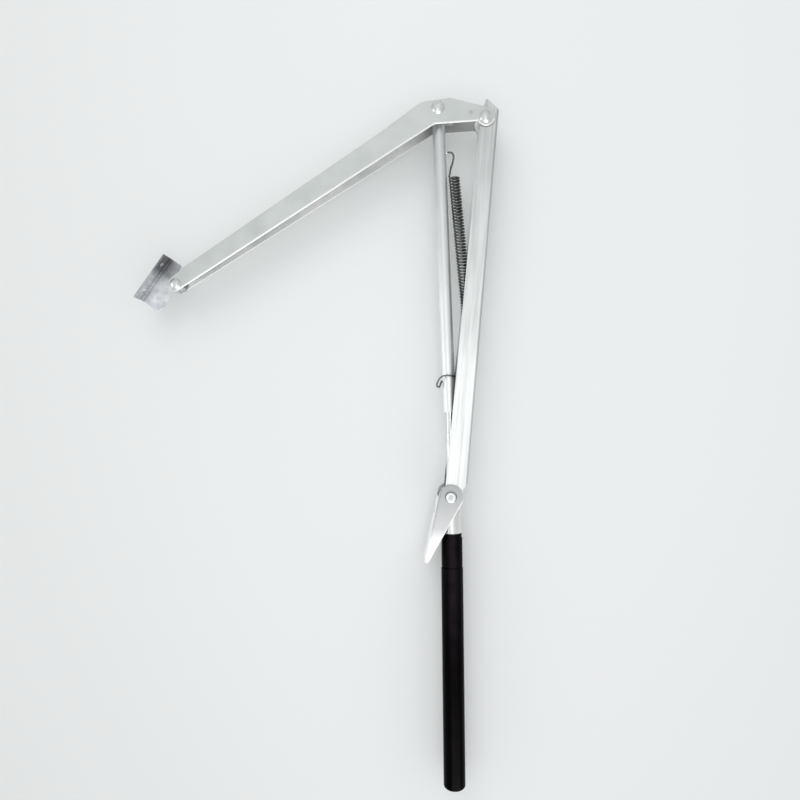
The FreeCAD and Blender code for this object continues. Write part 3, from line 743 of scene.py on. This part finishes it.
def apply_modifiers(piece: bpy.types.Object) -> None:
    """Apply all of a piece's modifiers in their order.

    Args:
        piece: The piece.
    """
    select_only(piece)
    for modifier in list(piece.modifiers):
        bpy.ops.object.modifier_apply(modifier=modifier.name)


def placed(name: str, data: Any) -> bpy.types.Object:
    """Put a mesh, curve, light or camera into the scene.

    Args:
        name: The new object's name.
        data: What it holds.

    Returns:
        The object.
    """
    holder = bpy.data.objects.new(name, data)
    bpy.context.scene.collection.objects.link(holder)
    return holder


@dataclass(frozen=True)
class Cut:
    """An opening near the frame pivot, through a whole piece: an arc and further corners.

    Attributes:
        centre: The arc's centre, in millimetres from the pivot in X and Z.
        radius: Its radius in millimetres.
        start: Its first angle in degrees.
        stop: Its last angle in degrees.
        corners: Further corners, in millimetres from the pivot.
        reach: How far the cut goes to each side of the middle plane, in metres.
        steps: Number of straight pieces of the arc.
    """

    centre: Pair
    radius: float
    start: float
    stop: float
    corners: Tuple[Pair, ...] = ()
    reach: float = 20.0 * MM
    steps: int = 24

    def outline(self) -> List[Pair]:
        """Work out the cut's outline.

        Returns:
            Corners in X and Z, in metres.
        """
        pivot = joint_place(FRAME_PIVOT)
        turn = self.stop - self.start
        angles = [math.radians(self.start + turn * step / self.steps)
                  for step in range(self.steps + 1)]
        points = [(self.centre[0] + math.cos(angle) * self.radius,
                   self.centre[1] + math.sin(angle) * self.radius) for angle in angles]
        return [(pivot.x + x * MM, pivot.z + z * MM) for x, z in (*points, *self.corners)]


@dataclass(frozen=True)
class SoftSolid:
    """A solid that shows, and how its copy differs from it.

    Attributes:
        node: The solid's name.
        name: The new piece's name.
        edge: Width of its rounded edges in millimetres.
        cuts: Openings that are cut through it.
    """

    node: str
    name: str
    edge: float
    cuts: Tuple[Cut, ...] = ()


@dataclass
class Workshop:
    """The mixed finishes, and the ways that pieces are made ready.

    Attributes:
        materials: The materials by look.
        made: Number of pieces made so far.
    """

    materials: Dict[Look, bpy.types.Material] = field(default_factory=dict)
    made: int = 0

    def prepare(self) -> None:
        """Mix every finish."""
        for finish in FINISHES:
            self.materials[finish.look] = finish.material()

    def slot_of(self, node: str) -> Slot:
        """Look up a solid's slot in the record.

        Args:
            node: The solid's name.

        Returns:
            The slot.

        Raises:
            KeyError: If the record has no such solid.
        """
        for entry in frame["record"]["subparts"]:
            if entry["node"] == node:
                return Slot(entry["material_slot"])
        raise KeyError(node)

    def body_of(self, node: str) -> str:
        """Look up the moving body that a solid belongs to.

        Args:
            node: The solid's name.

        Returns:
            The body's name.

        Raises:
            KeyError: If no body has such a solid.
        """
        for body, nodes in frame["record"]["behaviour"]["bodies"].items():
            if node in nodes:
                return body
        raise KeyError(node)

    def dress(self, piece: bpy.types.Object, slot: Slot) -> None:
        """Give a piece its finish all over.

        Args:
            piece: The piece.
            slot: The slot that it belongs to.
        """
        look = LOOK_OF_PIECE.get(piece.name, LOOK_OF_SLOT[slot])
        piece.data.materials.clear()
        piece.data.materials.append(self.materials[look])

    def finish(self, piece: bpy.types.Object, slot: Slot, body: Optional[str],
               nodes: Sequence[str]) -> None:
        """Dress a new piece, hang it on its body and let it stand for its solids.

        Args:
            piece: The new piece.
            slot: The slot that it belongs to.
            body: The body that carries it, or None if it is stretched between two.
            nodes: The solids that it stands for.
        """
        self.dress(piece, slot)
        if body is not None:
            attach(piece, body)
        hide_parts(*nodes)
        self.made += 1
        log.info("made %s", piece.name)

    def punch(self, piece: bpy.types.Object, cut: Cut) -> None:
        """Cut an opening through a piece.

        Args:
            piece: The piece.
            cut: The opening.
        """
        outline = cut.outline()
        count = len(outline)
        corners = [(x, y, z) for y in (-cut.reach, cut.reach) for x, z in outline]
        faces = [tuple(range(count)), tuple(range(2 * count - 1, count - 1, -1))]
        faces += [(i, i + count, (i + 1) % count + count, (i + 1) % count) for i in range(count)]
        mesh = bpy.data.meshes.new("cutter")
        mesh.from_pydata(corners, [], faces)
        cutter = placed("cutter", mesh)
        edit_mesh(cutter, partial(bpy.ops.mesh.normals_make_consistent, inside=False))
        boolean = piece.modifiers.new("cut", "BOOLEAN")
        boolean.operation = "DIFFERENCE"
        boolean.solver = "EXACT"
        boolean.object = cutter
        apply_modifiers(piece)
        bpy.data.objects.remove(cutter)

    def softened(self, solid: SoftSolid) -> bpy.types.Object:
        """Copy a solid, join its triangles, cut its openings and round its edges.

        Args:
            solid: The solid and what is done to it.

        Returns:
            The new piece.
        """
        piece = placed(solid.name, frame["nodes"][solid.node].data.copy())
        edit_mesh(piece, partial(bpy.ops.mesh.remove_doubles, threshold=MERGE_DISTANCE))
        for cut in solid.cuts:
            self.punch(piece, cut)
        edit_mesh(piece, partial(bpy.ops.mesh.dissolve_limited, angle_limit=FLAT_ANGLE))
        bevel = piece.modifiers.new("edge", "BEVEL")
        bevel.width = solid.edge * MM
        bevel.segments = EDGE_SEGMENTS
        bevel.limit_method = "ANGLE"
        bevel.angle_limit = EDGE_ANGLE
        bevel.use_clamp_overlap = True
        weigh = piece.modifiers.new("faces", "WEIGHTED_NORMAL")
        weigh.keep_sharp = True
        weigh.weight = NORMAL_WEIGHT
        bpy.ops.object.shade_smooth_by_angle(angle=EDGE_ANGLE)
        apply_modifiers(piece)
        return piece


@dataclass
class Assembly:
    """A sub-assembly whose solids keep their shapes, with rounded edges.

    Attributes:
        shop: Where the pieces are made.
        solids: Its solids that show.
        inner: Its solids that stay as they are, out of sight.
    """

    shop: Workshop
    solids: Tuple[SoftSolid, ...] = ()
    inner: Tuple[str, ...] = ()

    def build(self) -> None:
        """Round and dress every solid that shows, and dress the others."""
        for solid in self.solids:
            piece = self.shop.softened(solid)
            self.shop.finish(piece, self.shop.slot_of(solid.node), self.shop.body_of(solid.node),
                             [solid.node])
        for node in self.inner:
            self.shop.dress(frame["nodes"][node], self.shop.slot_of(node))
            log.info("dressed %s", node)


@dataclass
class FrameBracket(Assembly):
    """The bracket on the greenhouse frame, with play round the near shoulder rivet."""

    solids: Tuple[SoftSolid, ...] = (
        SoftSolid("frame_bracket", "sill_bracket", 0.35, (Cut((0.0, 0.9), 5.2, 0.0, 345.0),)),
    )


@dataclass
class LowerArm(Assembly):
    """The lower channel, whose web ends above the pivot, with its guide, rivets and post."""

    solids: Tuple[SoftSolid, ...] = (
        SoftSolid("lower_arm", "lower_channel", 0.30, (
            Cut((0.0, 0.0), 8.5, -90.0, 18.0,
                ((14.0, 11.5), (20.0, 11.5), (20.0, -14.0), (0.0, -14.0))),)),
        SoftSolid("guide_block", "guide_boss", 0.40),
        SoftSolid("spring_anchor", "lower_hook_post", 0.20),
        SoftSolid("pivot_stub_near", "near_shoulder_rivet", 0.20),
        SoftSolid("pivot_stub_far", "far_shoulder_rivet", 0.20),
    )


@dataclass
class UpperArm(Assembly):
    """The bent upper channel with its three rivets and their sleeves."""

    solids: Tuple[SoftSolid, ...] = (
        SoftSolid("upper_arm", "upper_channel", 0.60),
        SoftSolid("head_pin", "head_rivet", 0.25),
        SoftSolid("push_pin", "push_rivet", 0.25),
        SoftSolid("window_pin", "window_rivet", 0.25),
        SoftSolid("head_spacer", "head_sleeve", 0.30),
        SoftSolid("push_bush", "push_roller", 0.30),
        SoftSolid("window_spacer", "window_sleeve", 0.30),
    )


@dataclass
class WindowBracket(Assembly):
    """The folded plate that is screwed to the window."""

    solids: Tuple[SoftSolid, ...] = (SoftSolid("window_bracket", "window_plate", 0.35),)


@dataclass
class PushTube(Assembly):
    """The thin tube with its pad and plug, and the rod that lifts it."""

    solids: Tuple[SoftSolid, ...] = (
        SoftSolid("push_tube", "long_tube", 0.25),
        SoftSolid("push_pad", "lifting_pad", 0.40),
        SoftSolid("tube_insert", "tube_plug", 0.30),
        SoftSolid("piston_rod", "bright_rod", 0.30),
    )


@dataclass
class Cylinder(Assembly):
    """The black cylinder with its screwed collar. Its seal and wax are out of sight."""

    solids: Tuple[SoftSolid, ...] = (
        SoftSolid("cylinder_collar", "black_collar", 0.30),
        SoftSolid("cylinder_tube", "black_cylinder", 0.25),
    )
    inner: Tuple[str, ...] = ("rod_seal", "wax_charge")


@dataclass
class WireForm:
    """A piece that is bent from round wire.

    Attributes:
        shop: Where the piece is made.
        wire: The wire's radius.
        section_steps: How often a square section is refined. Two steps give eight sides.
    """

    shop: Workshop
    wire: float = MM
    section_steps: int = 2

    def swept(self, name: str, points: List[Vector]) -> bpy.types.Object:
        """Sweep the wire along a path.

        Args:
            name: The piece's name.
            points: The path.

        Returns:
            A mesh piece.
        """
        curve = bpy.data.curves.new(name, "CURVE")
        curve.dimensions = "3D"
        spline = curve.splines.new("POLY")
        spline.points.add(len(points) - 1)
        for target, point in zip(spline.points, points):
            target.co = (*point, 1.0)
        curve.bevel_depth = self.wire
        curve.bevel_resolution = self.section_steps
        curve.use_fill_caps = True
        select_only(placed(name, curve))
        bpy.ops.object.convert(target="MESH")
        piece = bpy.context.view_layer.objects.active
        edit_mesh(piece, partial(bpy.ops.mesh.remove_doubles, threshold=MERGE_DISTANCE),
                  partial(bpy.ops.mesh.normals_make_consistent, inside=False))
        bpy.ops.object.shade_smooth_by_angle(angle=WIRE_ANGLE)
        return piece

    def smooth(self, points: Sequence[Vector]) -> List[Vector]:
        """Round a path through given points.

        Args:
            points: The path's corner points.

        Returns:
            The smooth path.
        """
        padded = [2 * points[0] - points[1], *points, 2 * points[-1] - points[-2]]
        path: List[Vector] = []
        for before, start, end, after in zip(padded, padded[1:], padded[2:], padded[3:]):
            for step in range(BEND_STEPS):
                t = step / BEND_STEPS
                path.append(0.5 * ((2 * start) + (end - before) * t
                                   + (2 * before - 5 * start + 4 * end - after) * t ** 2
                                   + (3 * start - before - 3 * end + after) * t ** 3))
        path.append(points[-1].copy())
        return path


@dataclass
class ReturnSpring(WireForm):
    """The return spring between tube and lower arm, and the ring that it comes out of.

    Attributes:
        wire: The wire's radius.
        coil: Radius of the coils at the wire's middle.
        turns: Whole turns of the coil. It has half a turn more.
        steps: Points of each turn.
        top_below_hook: Height from the highest coil up to the upper hook.
        foot_above_hook: Height from the lower hook up to the lowest coil.
        hook_bends: The upper hook's path from the tube to the coil, in millimetres.
        hook_radius: Radius of the lower hook.
        hook_angles: Degrees along the lower hook.
        rise_share: Place of the wire's rise to the coil, in coil and in hook radii.
        rise_lift: How far the rise lies above the middle between hook and coil.
        coil_start: Where the coil begins, toward the viewer and below its foot.
        ring_size: The ring's radius, its length and how far it sits below the hook.
        ring_sides: Sides of the ring.
    """

    wire: float = 0.78 * MM
    coil: float = 4.25 * MM
    turns: int = 52
    steps: int = 20
    top_below_hook: float = 21.2 * MM
    foot_above_hook: float = 11.5 * MM
    hook_bends: Tuple[Triple, ...] = (
        (-4.4, 0.0, -0.4), (-1.8, 0.0, -0.3), (1.2, 0.0, -0.6), (2.9, 0.0, -3.4),
        (2.2, 0.0, -8.4), (0.4, 0.0, -14.6), (-0.4, 0.0, -19.4))
    hook_radius: float = 2.1 * MM
    hook_angles: range = range(-30, 181, 30)
    rise_share: Pair = (0.6, 0.8)
    rise_lift: float = 2 * MM
    coil_start: Pair = (0.4 * MM, 0.5 * MM)
    ring_size: Vector = field(default_factory=lambda: Vector((1.5, 1.7, 0.4)) * MM)
    ring_sides: int = 32

    def coil_path(self, foot: Vector, head: Vector) -> List[Vector]:
        """Wind the coils from foot to head, from the right side to the left.

        Args:
            foot: Middle of the lowest coil.
            head: Middle of the highest coil.

        Returns:
            The path.
        """
        steps = self.turns * self.steps + self.steps // 2
        path = []
        for step in range(steps + 1):
            angle = 2 * math.pi * step / self.steps
            centre = foot.lerp(head, step / steps)
            path.append(centre + Vector((math.cos(angle), math.sin(angle), 0.0)) * self.coil)
        return path

    def lower_hook(self, post: Vector, foot: Vector) -> List[Vector]:
        """Bend the hook that goes round the lower post.

        Args:
            post: The post's centre.
            foot: Middle of the lowest coil.

        Returns:
            The path, ending at the coil.
        """
        angles = [math.radians(angle) for angle in self.hook_angles]
        turn = [Vector((post.x, math.cos(angle) * self.hook_radius,
                        post.z - math.sin(angle) * self.hook_radius)) for angle in angles]
        right, near = self.rise_share
        rise = Vector((foot.x + self.coil * right, -self.hook_radius * near,
                       (post.z + foot.z) / 2 + self.rise_lift))
        side, drop = self.coil_start
        return self.smooth([*turn, rise, Vector((foot.x + self.coil, -side, foot.z - drop))])

    def build(self) -> None:
        """Wind the spring, hang it between tube and arm, and set its ring."""
        low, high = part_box("return_spring")
        upper = sum(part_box("spring_post"), Vector()) / 2
        lower = sum(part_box("spring_anchor"), Vector()) / 2
        head = Vector((low.x + self.coil, 0.0, upper.z - self.top_below_hook))
        foot = Vector((high.x - self.coil - self.wire, 0.0, lower.z + self.foot_above_hook))
        bends = [Vector((upper.x, 0.0, upper.z)) + Vector(bend) * MM for bend in self.hook_bends]
        coil = self.coil_path(foot, head)
        path = self.lower_hook(lower, foot) + coil + self.smooth(bends[::-1])
        piece = self.swept("coil_spring", path)
        self.shop.finish(piece, Slot.SPRING_STEEL, None, ["return_spring"])
        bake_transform(piece)
        self.ring()

    def ring(self) -> None:
        """Set the small ring in the tube's wall that the spring's upper end comes out of."""
        low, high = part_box("spring_post")
        centre = (low + high) / 2
        radius, length, drop = self.ring_size
        bpy.ops.object.select_all(action="DESELECT")
        bpy.ops.mesh.primitive_cylinder_add(
            vertices=self.ring_sides, radius=radius, depth=length,
            location=(low.x + length / 2, centre.y, centre.z - drop),
            rotation=(0.0, math.radians(90.0), 0.0))
        piece = bpy.context.view_layer.objects.active
        piece.name = "hook_ferrule"
        bpy.ops.object.transform_apply(location=True, rotation=True)
        bpy.ops.object.shade_smooth_by_angle(angle=RING_ANGLE)
        self.shop.finish(piece, Slot.RIVET_STEEL, "push_tube", ["spring_post"])


@dataclass
class RetainingClip(WireForm):
    """The clip on the tube: a leg through it, an eye and a bow round the front.

    Attributes:
        wire: The wire's radius.
        bends: The path from inside the tube, in millimetres.
    """

    wire: float = 0.75 * MM
    bends: Tuple[Triple, ...] = (
        (5.5, 0.0, 0.0), (0.0, 0.0, 0.0), (-5.6, 0.0, -0.2), (-7.2, -0.8, -2.4),
        (-8.2, -1.6, -5.0), (-9.9, -2.2, -5.6), (-10.6, -3.2, -3.0), (-8.6, -5.2, 1.4),
        (-6.2, -6.8, 3.5), (-2.6, -7.2, 4.4), (1.6, -6.6, 4.2), (5.0, -4.6, 3.7),
        (6.6, -1.6, 3.4))

    def build(self) -> None:
        """Bend the clip."""
        low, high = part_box("retaining_clip")
        tube = sum(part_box("tube_insert"), Vector()) / 2
        leg = Vector((tube.x, 0.0, (low.z + high.z) / 2))
        points = [leg + Vector(bend) * MM for bend in self.bends]
        piece = self.swept("wire_clip", self.smooth(points))
        self.shop.finish(piece, Slot.RIVET_STEEL, "push_tube", ["retaining_clip"])


@dataclass(frozen=True)
class Lamp:
    """A rectangular soft lamp that points at the middle of the picture.

    Attributes:
        name: The lamp's name.
        offset: Where it hangs, from the middle of the picture.
        size: Its sides.
        power: Its power in watts.
        role: What it is for.
    """

    name: str
    offset: Triple
    size: Pair
    power: float
    role: Role = Role.BOTH

    def hang(self, target: Vector) -> None:
        """Hang the lamp.

        Args:
            target: The middle of the picture.
        """
        light = bpy.data.lights.new(self.name, "AREA")
        light.shape = "RECTANGLE"
        light.size, light.size_y = self.size
        light.energy = self.power
        holder = placed(self.name, light)
        holder.visible_glossy = self.role is not Role.LIGHT
        holder.visible_diffuse = self.role is not Role.MIRRORED
        holder.location = target + Vector(self.offset)
        aim = target - holder.location
        holder.rotation_euler = aim.to_track_quat("-Z", "Y").to_euler()


@dataclass
class Studio:
    """Paper, lamps and camera.

    Attributes:
        camera_from_pivot: The camera's place, from the frame pivot.
        camera_angle: Its angle of view in degrees.
        camera_near: Nearest thing that it sees.
        paper_gap: Gap between the opener and the paper.
        paper_side: Side of the sheet.
        paper_roughness: Roughness of the paper.
        paper_light: Colour of its lighter part, on the right.
        paper_shade: Colour of its darker part, on the left: painted shade.
        paper_shade_ramp: Where the painted shade begins and ends along X.
        world_colour: Colour of the light from all round.
        world_strength: Its strength.
        lamps: The lamps.
    """

    camera_from_pivot: Triple = (-43.4 * MM, -575.0 * MM, 83.3 * MM)
    camera_angle: float = 62.4
    camera_near: float = 10 * MM
    paper_gap: float = 10 * MM
    paper_side: float = 3.2
    paper_roughness: float = 0.9
    paper_light: Colour = (0.985, 0.995, 0.990)
    # Painted shade: the paper darkens toward the left.
    paper_shade: Colour = (0.92, 0.93, 0.92)
    paper_shade_ramp: Pair = (-0.42, -0.05)
    world_colour: Colour = (0.97, 0.99, 1.0)
    world_strength: float = 0.665
    lamps: Tuple[Lamp, ...] = (
        Lamp("key", (-0.7, -1.7, 1.9), (1.8, 1.8), 10.0, Role.LIGHT),
        Lamp("screen", (-0.2, -1.5, 0.7), (1.8, 1.8), 2.6),
        Lamp("front", (0.0, -0.66, -0.11), (0.40, 0.42), 0.43),
        Lamp("low", (0.15, -0.38, -0.72), (0.8, 0.4), 4.4, Role.MIRRORED),
        Lamp("side", (-0.9, -0.25, -0.1), (0.5, 0.6), 1.2, Role.MIRRORED),
    )

    def paper_material(self) -> bpy.types.Material:
        """Mix the paper's finish, which is clear from behind.

        Returns:
            The material.
        """
        graph = NodeGraph("paper")
        shader = graph.add("ShaderNodeBsdfPrincipled", {"Roughness": self.paper_roughness})
        axes = graph.add("ShaderNodeSeparateXYZ")
        graph.join(graph.coordinates(), axes.inputs["Vector"])
        # Painted shade: darker toward the left.
        shade = graph.spread(axes.outputs["X"], 0.0, 1.0, *self.paper_shade_ramp)
        colour = graph.blend(shade, self.paper_shade, self.paper_light)
        graph.join(colour, shader.inputs["Base Color"])
        clear = graph.add("ShaderNodeBsdfTransparent")
        side = graph.add("ShaderNodeNewGeometry")
        mixer = graph.add("ShaderNodeMixShader")
        graph.join(side.outputs["Backfacing"], mixer.inputs["Fac"])
        graph.join(shader.outputs["BSDF"], mixer.inputs[1])
        graph.join(clear.outputs["BSDF"], mixer.inputs[2])
        graph.join(mixer.outputs["Shader"], graph.output.inputs["Surface"])
        return graph.material

    def paper(self) -> None:
        """Lay the opener on a sheet of pale paper, which shows from its front only."""
        low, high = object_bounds()
        bpy.ops.object.select_all(action="DESELECT")
        bpy.ops.mesh.primitive_plane_add(size=self.paper_side)
        sheet = bpy.context.view_layer.objects.active
        sheet.name = "paper"
        sheet.rotation_euler = (math.radians(90.0), 0.0, 0.0)
        sheet.location = ((low.x + high.x) / 2, high.y + self.paper_gap, (low.z + high.z) / 2)
        bpy.ops.object.transform_apply(location=True, rotation=True)
        sheet.data.materials.append(self.paper_material())
        sheet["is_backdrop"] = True

    def surroundings(self) -> None:
        """Light the scene evenly from all round."""
        world = bpy.data.worlds.new("studio")
        world.use_nodes = True
        background = world.node_tree.nodes["Background"]
        background.inputs["Color"].default_value = (*self.world_colour, 1.0)
        background.inputs["Strength"].default_value = self.world_strength
        bpy.context.scene.world = world

    def camera(self, eye: Vector) -> None:
        """Set the camera up, level and square to the opener.

        Args:
            eye: Its place.
        """
        camera = bpy.data.cameras.new("camera")
        camera.angle = math.radians(self.camera_angle)
        camera.clip_start = self.camera_near
        holder = placed("camera", camera)
        holder.location = eye
        holder.rotation_euler = (math.radians(90.0), 0.0, 0.0)
        bpy.context.scene.camera = holder
        bpy.context.scene.view_settings.view_transform = "Standard"

    def build(self) -> None:
        """Set up paper, lamps, surroundings and camera."""
        eye = joint_place(FRAME_PIVOT) + Vector(self.camera_from_pivot)
        self.paper()
        for lamp in self.lamps:
            lamp.hang(Vector((eye.x, 0.0, eye.z)))
        self.surroundings()
        self.camera(eye)


def main() -> None:
    """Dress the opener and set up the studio."""
    logging.basicConfig(level=logging.INFO)
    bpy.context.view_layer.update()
    shop = Workshop()
    shop.prepare()
    for part in (FrameBracket, LowerArm, UpperArm, WindowBracket, PushTube, Cylinder,
                 ReturnSpring, RetainingClip):
        part(shop).build()
    Studio().build()
    log.info("%d pieces made", shop.made)


if __name__ == "__main__":
    main()
